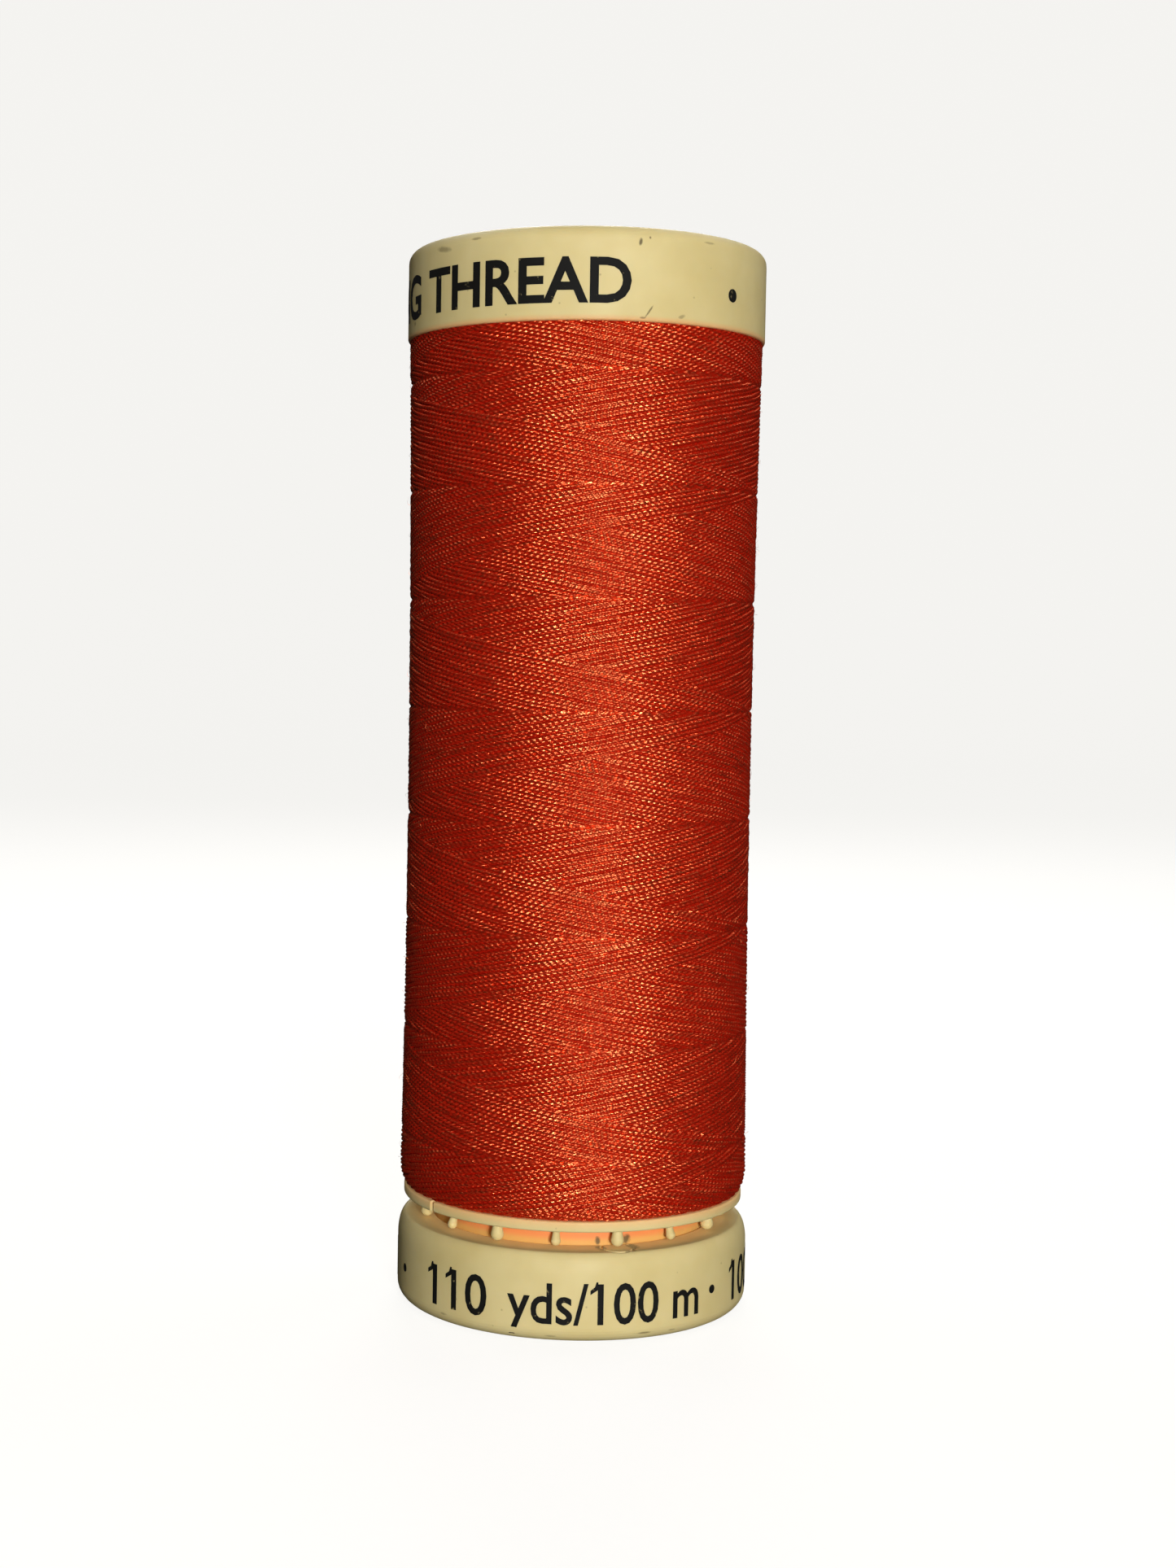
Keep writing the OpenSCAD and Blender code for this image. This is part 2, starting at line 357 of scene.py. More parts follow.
class SPOOL_OT_thread(bpy.types.Operator):
    """Builds the wound thread as bands of real relief, its loose fibres, and the tail"""

    bl_idname = "spool.thread"
    bl_label = "Wound thread"

    BANDS = 10
    COLUMNS = 720
    ROWS_PER_BAND = 125
    # the tail: where it goes through the lip, its drop as radius, height above the lip's
    # underside and angle, its turn round the neck in degrees, and how far under the lip
    SLOT_ANGLE = -53
    TAIL_DROP = ((9.72, 0.85, -2), (9.70, 0.60, 0), (9.60, 0.36, 0), (9.35, 0.21, 0),
                 (9.00, 0.10, 0), (8.70, -0.02, 0), (8.52, -0.14, 0.4), (8.41, -0.22, 1.8))
    TAIL_TURN = 300
    TAIL_UNDER = 0.25
    TAIL_STEP = 0.06
    # the loose fibres: number, radius, taper, clear height at the winding's ends, length round
    # the spool, spreads of climb and sway, lift off the thread, share of a half wave that they
    # arch through, and depth of the root
    FUZZ = 420
    FUZZ_R = 0.009
    FUZZ_TAPER = 0.7
    FUZZ_CLEAR = 0.8
    FUZZ_RUN = (0.25, 1.3)
    FUZZ_CLIMB = 0.28
    FUZZ_SWAY = 0.12
    FUZZ_LIFT = (0.08, 0.26)
    FUZZ_ARCH = 0.8
    FUZZ_ROOT = 0.06

    def execute(self, context):
        thread = settings(context)[0]
        self.winding(thread, spun_polyester(thread, True))
        loose = spun_polyester(thread, False)
        self.tail(thread, loose)
        self.fuzz(thread, loose)
        return {"FINISHED"}

    def winding(self, thread, material):
        """The wound thread, as rings that stand on each other and are each a closed solid."""
        coarse = 1
        columns, band_rows = self.COLUMNS // coarse, self.ROWS_PER_BAND // coarse
        rows = self.BANDS * band_rows + 1
        angle = np.arange(columns)[None, :] * TAU / columns
        z = np.linspace(WIND_Z0, WIND_Z1, rows)[:, None]
        # light is the painted shade between the threads, with each thread's own tone
        radius, light = winding_surface(thread, angle, z)
        points = on_cylinder(radius, angle, z)
        normals = surface_normals(points)
        for band in range(self.BANDS):
            part = slice(band * band_rows, (band + 1) * band_rows + 1)
            outside, out = points[part], normals[part]
            inside = on_cylinder(CORE_R, angle, outside[[-1, 0], :1, 2])
            grid = np.concatenate([outside, inside])
            turned = np.concatenate([out, -on_cylinder(1.0, angle, np.zeros((2, 1)))])
            name = f"thread_winding_{band + 1:02d}"
            mesh = mesh_from_grid(name, grid, turned, closed=True)
            # the crown values carry that painted shade to the material
            crown = mesh.attributes.new("crown", "FLOAT", "POINT")
            crown.data.foreach_set("value", np.concatenate(
                [light[part].ravel(), np.zeros(2 * columns)]).astype(np.float32))
            piece = new_object(name, mesh, material)
            finish_piece(piece, "spool")
            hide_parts("thread_winding")

    def tail(self, thread, material):
        """The thread's end: down through the lip's slot, then round the neck under the lip."""
        ring = NECK_R + thread.diameter / 2
        route = [(r, LIP_Z + h, self.SLOT_ANGLE + a) for r, h, a in self.TAIL_DROP]
        route += [(ring, LIP_Z - self.TAIL_UNDER, self.SLOT_ANGLE + a)
                  for a in range(4, self.TAIL_TURN, 3)]
        r, z, a = np.array(route).T
        line = even_points(on_cylinder(r, np.radians(a), z), self.TAIL_STEP)
        for ply in (0, 1):
            name = f"thread_tail_ply_{ply + 1}"
            mesh = twisted_ply(name, line, thread, ply * math.pi)
            piece = new_object(name, mesh, material)
            finish_piece(piece, "spool")
            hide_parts("thread_tail")

    def fuzz(self, thread, material):
        """Short ends of fibre that stand out of the thread, as one mesh of thin curved hairs."""
        chance = np.random.default_rng(21)
        steps, sides = 7, 3
        each = (self.FUZZ, 1)
        t = np.linspace(0, 1, steps)[None, :]
        place = chance.uniform(0, TAU, each)
        foot = chance.uniform(WIND_Z0 + self.FUZZ_CLEAR, WIND_Z1 - self.FUZZ_CLEAR, each)
        run = chance.uniform(*self.FUZZ_RUN, each) * chance.choice((-1, 1), each)
        climb = chance.normal(0, self.FUZZ_CLIMB, each)
        lift = chance.uniform(*self.FUZZ_LIFT, each)
        sway = chance.normal(0, self.FUZZ_SWAY, each)
        z = foot + climb * t + sway * np.sin(math.pi * t)
        arch = lift * np.sin(self.FUZZ_ARCH * math.pi * t)
        radius = winding_radius(z) - self.FUZZ_ROOT + arch
        middle = on_cylinder(radius, place + run * t / WIND_R, z)
        thin = self.FUZZ_R * (1 - self.FUZZ_TAPER * t)[..., None, None]
        around = np.arange(sides) * TAU / sides
        out = on_cylinder(1.0, place, np.zeros((1, 1)))
        cross = np.cos(around)[:, None] * out[:, :, None] + np.sin(around)[:, None] * np.array(UP)
        points = middle[:, :, None] + thin * cross
        shape = bmesh.new()
        for hair in points:
            rings = [[shape.verts.new(Vector(p) * MM) for p in row] for row in hair]
            for low, high in zip(rings, rings[1:]):
                for k in range(sides):
                    n = (k + 1) % sides
                    shape.faces.new((low[k], low[n], high[n], high[k]))
            shape.faces.new(rings[0])
            shape.faces.new(rings[-1])
        piece = new_object("thread_fuzz", closed_mesh("thread_fuzz", shape), material)
        finish_piece(piece, "spool")


def length_along(line):
    """How far along a line each of its points is."""
    return np.concatenate([[0], np.cumsum(np.linalg.norm(np.diff(line, axis=0), axis=1))])


def even_points(line, step):
    """The same line with a point every step millimetres, its corners cut twice to ease them."""
    for _ in range(2):
        here, ahead = line[:-1], line[1:]
        cut = np.stack([0.75 * here + 0.25 * ahead, 0.25 * here + 0.75 * ahead], 1)
        line = np.concatenate([line[:1], cut.reshape(-1, 3), line[-1:]])
    run = length_along(line)
    at = np.linspace(0, run[-1], int(run[-1] / step))
    return np.stack([np.interp(at, run, line[:, i]) for i in range(3)], -1)


def twisted_ply(name, line, thread, start):
    """One of the two plies twisted round a line, as a closed tube."""
    sides, same_place = 8, 1e-7
    run = length_along(line)
    ahead = np.gradient(line, axis=0)
    ahead /= np.linalg.norm(ahead, axis=1, keepdims=True)
    side = np.cross([0, 0, 1], ahead)
    side /= np.linalg.norm(side, axis=1, keepdims=True)
    over = np.cross(ahead, side)
    turned = (TAU * run / thread.twist + start)[:, None]
    centre = line + PLY_OFFSET * thread.diameter / 2 * (
        side * np.cos(turned) + over * np.sin(turned))
    radius = (1 - PLY_OFFSET) * thread.diameter / 2 * PLY_LOOSE
    around = np.arange(sides)[None, :, None] * TAU / sides
    out = side[:, None] * np.cos(around) + over[:, None] * np.sin(around)
    rings = centre[:, None] + radius * out
    rings = np.concatenate([centre[:1, None].repeat(sides, 1), rings,
                            centre[-1:, None].repeat(sides, 1)])
    mesh = mesh_from_grid(name, rings)
    shape = bmesh.new()
    shape.from_mesh(mesh)
    bmesh.ops.remove_doubles(shape, verts=shape.verts, dist=same_place)
    bmesh.ops.recalc_face_normals(shape, faces=shape.faces)
    shape.to_mesh(mesh)
    shape.free()
    return mesh


# The print

# How deep the print's underside is sunk, and the strips that a flat shape is cut into to bend
SUNK = 0.02
STRIP_W = 0.3
STRIP_H = 0.5
# The height on a line of print where its letters have their true width
TRUE_Z = 1


def top_outline(z):
    """Outer radius of the top collar at height z. It is straight where the print is."""
    return COLLAR_R


def base_outline(z):
    """Outer radius of the base at height z, with its rounded foot and shoulder."""
    foot, shoulder_in, shoulder_h = 0.9, 0.5, 1.3
    if z < foot:
        return BASE_R - foot + math.sqrt(max(foot ** 2 - (foot - z) ** 2, 0))
    over = (z - (BASE_Z1 - shoulder_h)) / shoulder_h
    return BASE_R if over < 0 else BASE_R - shoulder_in * (1 - math.sqrt(max(1 - over ** 2, 0)))


def set_type(text, height, weight):
    """The built-in font's letters as a mesh one millimetre thick, starting at x = 0, with the
    cap height in millimetres and the strokes fattened by weight on each side. cap_share is the
    height of the font's capitals over its size."""
    cap_share = 0.729
    curve = bpy.data.curves.new("letters", "FONT")
    curve.body = text
    curve.size = height / cap_share
    curve.offset = weight
    curve.extrude = 0.5
    curve.resolution_u = 4
    holder = bpy.data.objects.new("letters", curve)
    bpy.context.scene.collection.objects.link(holder)
    bpy.context.view_layer.update()
    evaluated = holder.evaluated_get(bpy.context.evaluated_depsgraph_get())
    shape = bmesh.new()
    shape.from_mesh(evaluated.to_mesh())
    bpy.data.objects.remove(holder)
    bpy.data.curves.remove(curve)
    return shape


def flat_letters(text, height, weight, wide=1):
    """A line of print as a flat closed shape. Each figure 1 is a plain bar in the font, so it
    gets a flag at its top left, drawn in cap heights. wide narrows or widens the letters."""
    flag = ((0.01, 1.0), (0.01, 0.82), (-0.2, 0.7), (-0.2, 0.8), (-0.08, 0.88), (-0.04, 1.0))
    same_place = 1e-5
    shape = set_type(text, height, weight)
    bar = set_type("1", height, weight)
    bar_w = max(v.co.x for v in bar.verts) - min(v.co.x for v in bar.verts)
    bar.free()
    for i, letter in enumerate(text):
        if letter == "1":
            upto = set_type(text[:i + 1], height, weight)
            edge = max(v.co.x for v in upto.verts) - bar_w
            upto.free()
            ends = [[shape.verts.new((edge + x * height, y * height, side)) for x, y in flag]
                    for side in (-0.5, 0.5)]
            shape.faces.new(ends[0])
            shape.faces.new(ends[1])
            for j in range(len(flag)):
                k = (j + 1) % len(flag)
                shape.faces.new((ends[0][j], ends[0][k], ends[1][k], ends[1][j]))
    bmesh.ops.remove_doubles(shape, verts=shape.verts, dist=same_place)
    bmesh.ops.scale(shape, verts=shape.verts, vec=(wide, 1, 1))
    return shape


def flat_dot(diameter):
    """A round dot as a flat closed shape, centred on x = 0, y = 0."""
    shape = bmesh.new()
    bmesh.ops.create_cone(shape, cap_ends=True, segments=32, radius1=diameter / 2,
                          radius2=diameter / 2, depth=1)
    return shape


def slice_up(shape, axis, strip):
    """Cuts a shape into strips, so that it can bend."""
    places = [v.co[axis] for v in shape.verts]
    normal = Vector((axis == 0, axis == 1, 0))
    for i in range(1, int((max(places) - min(places)) / strip) + 1):
        bmesh.ops.bisect_plane(
            shape, geom=shape.verts[:] + shape.edges[:] + shape.faces[:],
            plane_co=normal * (min(places) + i * strip), plane_no=normal)


def wrap(shape, name, angle, z, radius_at, thickness):
    """Lays a flat shape on a round side at a start angle and a base height."""
    slice_up(shape, 0, STRIP_W)
    slice_up(shape, 1, STRIP_H)
    for v in shape.verts:
        height = z + v.co.y
        turned = math.radians(angle) + v.co.x / radius_at(z + TRUE_Z)
        r = radius_at(height) + (thickness if v.co.z > 0 else -SUNK)
        v.co = Vector((r * math.sin(turned), -r * math.cos(turned), height)) * MM
    return closed_mesh(name, shape)


def lay_round(shape, name, angle, radius, z, side, thickness):
    """Lays a flat shape in an arc on a level face, tops of the letters outwards. side is 1 on a
    face that looks up and -1 on one that looks down."""
    slice_up(shape, 0, STRIP_W)
    for v in shape.verts:
        turned = side * math.radians(angle) - side * v.co.x / radius
        r = radius + v.co.y
        height = z + side * (thickness if v.co.z > 0 else -SUNK)
        v.co = Vector((r * math.cos(turned), r * math.sin(turned), height)) * MM
    return closed_mesh(name, shape)


class SPOOL_OT_print(bpy.types.Operator):
    """Builds the print round the top collar and the base, and on both labels"""

    bl_idname = "spool.print"
    bl_label = "Print"

    # round each collar: the line's height, its capitals' height and how much their strokes
    # are fattened, the words with the angle where they start and how wide they are set, and
    # the height, diameter and angles of the dots between them
    TOP_LINE = (57.8, 2.5, 0.075)
    TOP_WORDS = (("SEWING THREAD", -134, 1), ("POLYESTER", 92, 1))
    TOP_DOTS = (58.75, 0.75, (51, 203))
    BASE_LINE = (1.15, 2.4, 0.035)
    BASE_WORDS = (("110", -52.5, 0.96), ("yds/100 m", -19.5, 0.86), ("100% polyester", 61, 0.9),
                  ("sewing thread", 184, 0.9))
    BASE_DOTS = (2.3, 0.5, (-69, 51, 172))
    # in a ring on each label: the ring's radius and the letters' size, then the words
    LABEL_LINE = (6.4, 1.4, 0.02)
    LABEL_WORDS = (("POLYESTER", 38), ("100 m", 155), ("110 yds", 270))

    def execute(self, context):
        plastic = settings(context)[1]
        ink = pad_print_ink(plastic)
        collars = (("spool", top_outline, self.TOP_LINE, self.TOP_WORDS, self.TOP_DOTS),
                   ("base", base_outline, self.BASE_LINE, self.BASE_WORDS, self.BASE_DOTS))
        for body, outline, (z, caps, weight), lines, (dot_z, dot, dot_angles) in collars:
            for words, angle, wide in lines:
                letters = flat_letters(words, caps, weight, wide)
                self.put(words, letters, body, angle, z, outline, ink, plastic)
            for angle in dot_angles:
                self.put("dot", flat_dot(dot), body, angle, dot_z, outline, ink, plastic)
        ring, caps, weight = self.LABEL_LINE
        for body, node, side in (("spool", "top_label", 1), ("base", "base_label", -1)):
            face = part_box(node)[0 if side < 0 else 1].z / MM
            for words, angle in self.LABEL_WORDS:
                name = f"print_{node}_{angle:03d}"
                letters = flat_letters(words, caps, weight)
                mesh = lay_round(letters, name, angle, ring, face, side, plastic.ink_t)
                finish_piece(new_object(name, mesh, ink), body)
        return {"FINISHED"}

    def put(self, words, shape, body, angle, z, radius_at, ink, plastic):
        """Lays one flat shape on a collar's side and names it for its words and its angle."""
        plain = "".join(c if c.isalnum() else "_" for c in words.lower())
        name = f"print_{body}_{plain}_{round(angle) % 360:03d}"
        mesh = wrap(shape, name, angle, z, radius_at, plastic.ink_t)
        finish_piece(new_object(name, mesh, ink), body)


# Materials

def spun_polyester(thread, crowned):
    """Dyed spun polyester thread: matt fibres under a soft shine along each ply. The fibres
    give the eye fine streaks round the spool, and a warm lighter glint where they face the
    light. With crowned, the mesh's own values paint shade dark between the threads, in the
    colour and in the shine."""
    # real fibres are about 0.012 mm thick. These are drawn coarser, so that they show: fine
    # long ones and broader short ones, and how many times longer than wide each is
    fibre_mm, fibre_long = 0.03, 8
    stub_mm, stub_long = 0.09, 2.5
    material, tree = new_material("dyed spun polyester thread")
    place = add_node(tree, "ShaderNodeTexCoord")
    stretch = add_node(tree, "ShaderNodeMapping", {
        "Vector": place.outputs["Object"], "Scale": (1 / fibre_long, 1 / fibre_long, 1)})
    fibres = add_node(tree, "ShaderNodeTexNoise", {
        "Vector": stretch.outputs["Vector"], "Scale": 1 / (2 * fibre_mm * MM), "Detail": 2})
    stubby = add_node(tree, "ShaderNodeMapping", {
        "Vector": place.outputs["Object"], "Scale": (1 / stub_long, 1 / stub_long, 1)})
    stubs = add_node(tree, "ShaderNodeTexNoise", {
        "Vector": stubby.outputs["Vector"], "Scale": 1 / (2 * stub_mm * MM), "Detail": 1})
    mixed = add_node(tree, "ShaderNodeMath", {
        0: fibres.outputs["Fac"], 1: stubs.outputs["Fac"]}, operation="ADD")
    dyed = add_node(tree, "ShaderNodeMapRange", {
        "Value": mixed.outputs[0], "From Min": 0.78, "From Max": 1.22, "To Min": 0.25})
    tone = dyed.outputs[0]
    # the crown values paint shade deep between the threads
    if crowned:
        crown = add_node(tree, "ShaderNodeAttribute", attribute_name="crown")
        tone = add_node(tree, "ShaderNodeMath", {0: tone, 1: crown.outputs["Fac"]},
                        operation="MULTIPLY").outputs[0]
    base = add_node(tree, "ShaderNodeMix", {
        "Factor": tone, "A": rgba(thread.shade), "B": rgba(thread.dye)}, data_type="RGBA")
    bump = add_node(tree, "ShaderNodeBump", {
        "Height": fibres.outputs["Fac"], "Distance": 0.012 * MM, "Strength": 0.7})
    matt = add_node(tree, "ShaderNodeBsdfPrincipled", {
        "Base Color": base.outputs["Result"], "Roughness": 0.8, "IOR": 1.57,
        "Specular IOR Level": 0.0, "Normal": bump.outputs[0]})
    # the shine of many fibres side by side, stronger than one smooth surface gives, is drawn
    # as a metallic share that grows with the tone, so the painted shade between threads dims it
    rough = add_node(tree, "ShaderNodeMapRange", {
        "Value": tone, "To Min": 0.38, "To Max": 0.29})
    shiny = add_node(tree, "ShaderNodeBsdfPrincipled", {
        "Base Color": rgba(thread.glint), "Metallic": 1.0, "Roughness": rough.outputs[0],
        "Normal": bump.outputs[0]})
    share = add_node(tree, "ShaderNodeMapRange", {
        "Value": tone, "To Min": 0.1, "To Max": 0.97})
    surface = add_node(tree, "ShaderNodeMixShader", {
        0: share.outputs[0], 1: matt.outputs[0], 2: shiny.outputs[0]})
    add_node(tree, "ShaderNodeOutputMaterial", {"Surface": surface.outputs[0]})
    return material


def moulded_polystyrene(plastic, name, glows=(), marks=()):
    """Ivory polystyrene, injection moulded: smooth with a soft gloss, a little see-through at
    its thin edges, yellowed and specked by handling. glows are painted light of the thread
    beside it: which measure of place it goes by, where it starts and is full, how strong it
    is there, its colour and how much painted light it gives off, as light come through the
    plastic. marks are the dirt and rubs on it, and painted shadow, as angle, radius, height,
    half sizes (across, inwards, up), lean and strength."""
    # across a patch of ageing, a crumb of dirt, from speck to speck, and across a ripple
    patch_mm, grime_mm, speck_mm, peel_mm = 5, 0.35, 1.3, 0.5
    # how far past the neck's side and the groove's floor their own glows reach
    neck_skin, floor_skin = 0.2, 0.5
    material, tree = new_material(name)
    place = add_node(tree, "ShaderNodeTexCoord")
    object_place = place.outputs["Object"]
    patches = add_node(tree, "ShaderNodeTexNoise", {
        "Vector": object_place, "Scale": 1 / (patch_mm * MM), "Detail": 3, "Roughness": 0.6})
    grime = add_node(tree, "ShaderNodeTexNoise", {
        "Vector": object_place, "Scale": 1 / (grime_mm * MM), "Detail": 4, "Roughness": 0.65})
    aged = add_node(tree, "ShaderNodeMapRange", {
        "Value": patches.outputs["Fac"], "From Min": 0.35, "From Max": 0.7})
    colour_out = add_node(tree, "ShaderNodeMix", {
        "Factor": aged.outputs[0], "A": rgba(plastic.ivory), "B": rgba(plastic.aged)},
        data_type="RGBA").outputs["Result"]

    specks = add_node(tree, "ShaderNodeTexVoronoi", {
        "Vector": object_place, "Scale": 1 / (speck_mm * MM), "Randomness": 1.0})
    dirt = add_node(tree, "ShaderNodeMapRange", {
        "Value": specks.outputs["Distance"], "From Min": 0.06, "From Max": 0.03,
        "To Max": 0.35})
    colour_out = add_node(tree, "ShaderNodeMix", {
        "Factor": dirt.outputs[0], "A": colour_out, "B": rgba(plastic.dirt)},
        data_type="RGBA").outputs["Result"]

    across = add_node(tree, "ShaderNodeVectorMath", {0: object_place, 1: (1, 1, 0)},
                      operation="MULTIPLY")
    radius = add_node(tree, "ShaderNodeVectorMath", {0: across.outputs[0]}, operation="LENGTH")
    height = add_node(tree, "ShaderNodeSeparateXYZ", {"Vector": object_place})
    # off the neck and below the floor, a whole metre takes a place out of that glow's reach
    outside_neck = add_node(tree, "ShaderNodeMath", {
        0: radius.outputs["Value"], 1: (NECK_R + neck_skin) * MM}, operation="GREATER_THAN")
    neck_height = add_node(tree, "ShaderNodeMath", {
        0: height.outputs["Z"], 1: outside_neck.outputs[0]}, operation="SUBTRACT")
    below_floor = add_node(tree, "ShaderNodeMath", {
        0: height.outputs["Z"], 1: (BASE_Z1 - floor_skin) * MM}, operation="LESS_THAN")
    floor_radius = add_node(tree, "ShaderNodeMath", {
        0: radius.outputs["Value"], 1: below_floor.outputs[0]}, operation="ADD")
    measures = {"height": height.outputs["Z"], "radius": radius.outputs["Value"],
                "neck height": neck_height.outputs[0], "floor radius": floor_radius.outputs[0]}
    glow = 0.0
    # each glow is painted light: its colour is mixed in, and by its last value the plastic gives
    # off light
    for measure, start, full, strength, tint, light in glows:
        share = add_node(tree, "ShaderNodeMapRange", {
            "Value": measures[measure], "From Min": start * MM, "From Max": full * MM,
            "To Max": strength}, interpolation_type="SMOOTHSTEP")
        colour_out = add_node(tree, "ShaderNodeMix", {
            "Factor": share.outputs[0], "A": colour_out, "B": rgba(tint)},
            data_type="RGBA").outputs["Result"]
        glow = add_node(tree, "ShaderNodeMath", {0: share.outputs[0], 1: light, 2: glow},
                        operation="MULTIPLY_ADD").outputs[0]
    glow_colour = colour_out

    # dirt and rubs, and painted shadow round the first tooth, all in the dirt colour
    for angle, r, z, half_sizes, lean, strength in marks:
        turn = math.radians(angle)
        spot = add_node(tree, "ShaderNodeMapping", {
            "Vector": object_place,
            "Location": on_cylinder(r, turn, z) * MM,
            "Rotation": (Matrix.Rotation(turn, 3, "Z")
                         @ Matrix.Rotation(math.radians(lean), 3, "Y")).to_euler(),
            "Scale": np.array(half_sizes) * MM}, vector_type="TEXTURE")
        near = add_node(tree, "ShaderNodeTexGradient", {"Vector": spot.outputs[0]},
                        gradient_type="SPHERICAL")
        broken = add_node(tree, "ShaderNodeMath", {
            0: near.outputs["Fac"], 1: grime.outputs["Fac"]}, operation="MULTIPLY")
        share = add_node(tree, "ShaderNodeMapRange", {
            "Value": broken.outputs[0], "From Min": 0.1, "From Max": 0.3, "To Max": strength})
        colour_out = add_node(tree, "ShaderNodeMix", {
            "Factor": share.outputs[0], "A": colour_out, "B": rgba(plastic.dirt)},
            data_type="RGBA").outputs["Result"]

    peel = add_node(tree, "ShaderNodeTexNoise", {
        "Vector": object_place, "Scale": 1 / (peel_mm * MM), "Detail": 3})
    rough = add_node(tree, "ShaderNodeMapRange", {
        "Value": patches.outputs["Fac"], "From Min": 0.3, "From Max": 0.7,
        "To Min": 0.48, "To Max": 0.62})
    bump = add_node(tree, "ShaderNodeBump", {
        "Height": peel.outputs["Fac"], "Distance": 0.006 * MM, "Strength": 0.5})
    surface = add_node(tree, "ShaderNodeBsdfPrincipled", {
        "Base Color": colour_out, "Roughness": rough.outputs[0], "IOR": 1.59,
        "Specular IOR Level": 0.18, "Emission Color": glow_colour, "Emission Strength": glow,
        "Subsurface Weight": 0.2, "Subsurface Radius": (1.0, 0.7, 0.4),
        "Subsurface Scale": 0.6 * MM, "Normal": bump.outputs[0]})
    add_node(tree, "ShaderNodeOutputMaterial", {"Surface": surface.outputs[0]})
    return material


def pad_print_ink(plastic):
    """Black pad-printing ink: thin and half matt, rubbed through to the ivory in small flecks."""
    fleck_mm = 0.5
    material, tree = new_material("pad printed ink")
    place = add_node(tree, "ShaderNodeTexCoord")
    rubbed = add_node(tree, "ShaderNodeTexNoise", {
        "Vector": place.outputs["Object"], "Scale": 1 / (fleck_mm * MM), "Detail": 4,
        "Roughness": 0.7})
    fleck = add_node(tree, "ShaderNodeMapRange", {
        "Value": rubbed.outputs["Fac"], "From Min": 0.64, "From Max": 0.76, "To Max": 0.6})
    base = add_node(tree, "ShaderNodeMix", {
        "Factor": fleck.outputs[0], "A": rgba(plastic.ink), "B": rgba(plastic.aged)},
        data_type="RGBA")
    surface = add_node(tree, "ShaderNodeBsdfPrincipled", {
        "Base Color": base.outputs["Result"], "Roughness": 0.75, "IOR": 1.45,
        "Specular IOR Level": 0.2})
    add_node(tree, "ShaderNodeOutputMaterial", {"Surface": surface.outputs[0]})
    return material


def label_paper():
    """Uncoated printed paper: off-white, matt, with faint fibres."""
    fibre_mm = 0.2
    pale, fibre = linear("EDE9DC"), linear("D9D3C0")
    material, tree = new_material("uncoated label paper")
    place = add_node(tree, "ShaderNodeTexCoord")
    fibres = add_node(tree, "ShaderNodeTexNoise", {
        "Vector": place.outputs["Object"], "Scale": 1 / (fibre_mm * MM), "Detail": 5})
    base = add_node(tree, "ShaderNodeMix", {
        "Factor": fibres.outputs["Fac"], "A": rgba(pale), "B": rgba(fibre)},
        data_type="RGBA")
    bump = add_node(tree, "ShaderNodeBump", {
        "Height": fibres.outputs["Fac"], "Distance": 0.01 * MM})
    surface = add_node(tree, "ShaderNodeBsdfPrincipled", {
        "Base Color": base.outputs["Result"], "Roughness": 0.9, "Normal": bump.outputs[0]})
    add_node(tree, "ShaderNodeOutputMaterial", {"Surface": surface.outputs[0]})
    return material


def set_finish(node_name, material):
    """Puts a material on a CAD node that stays as it is."""
    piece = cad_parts[node_name]
    piece.data.materials.clear()
    piece.data.materials.append(material)


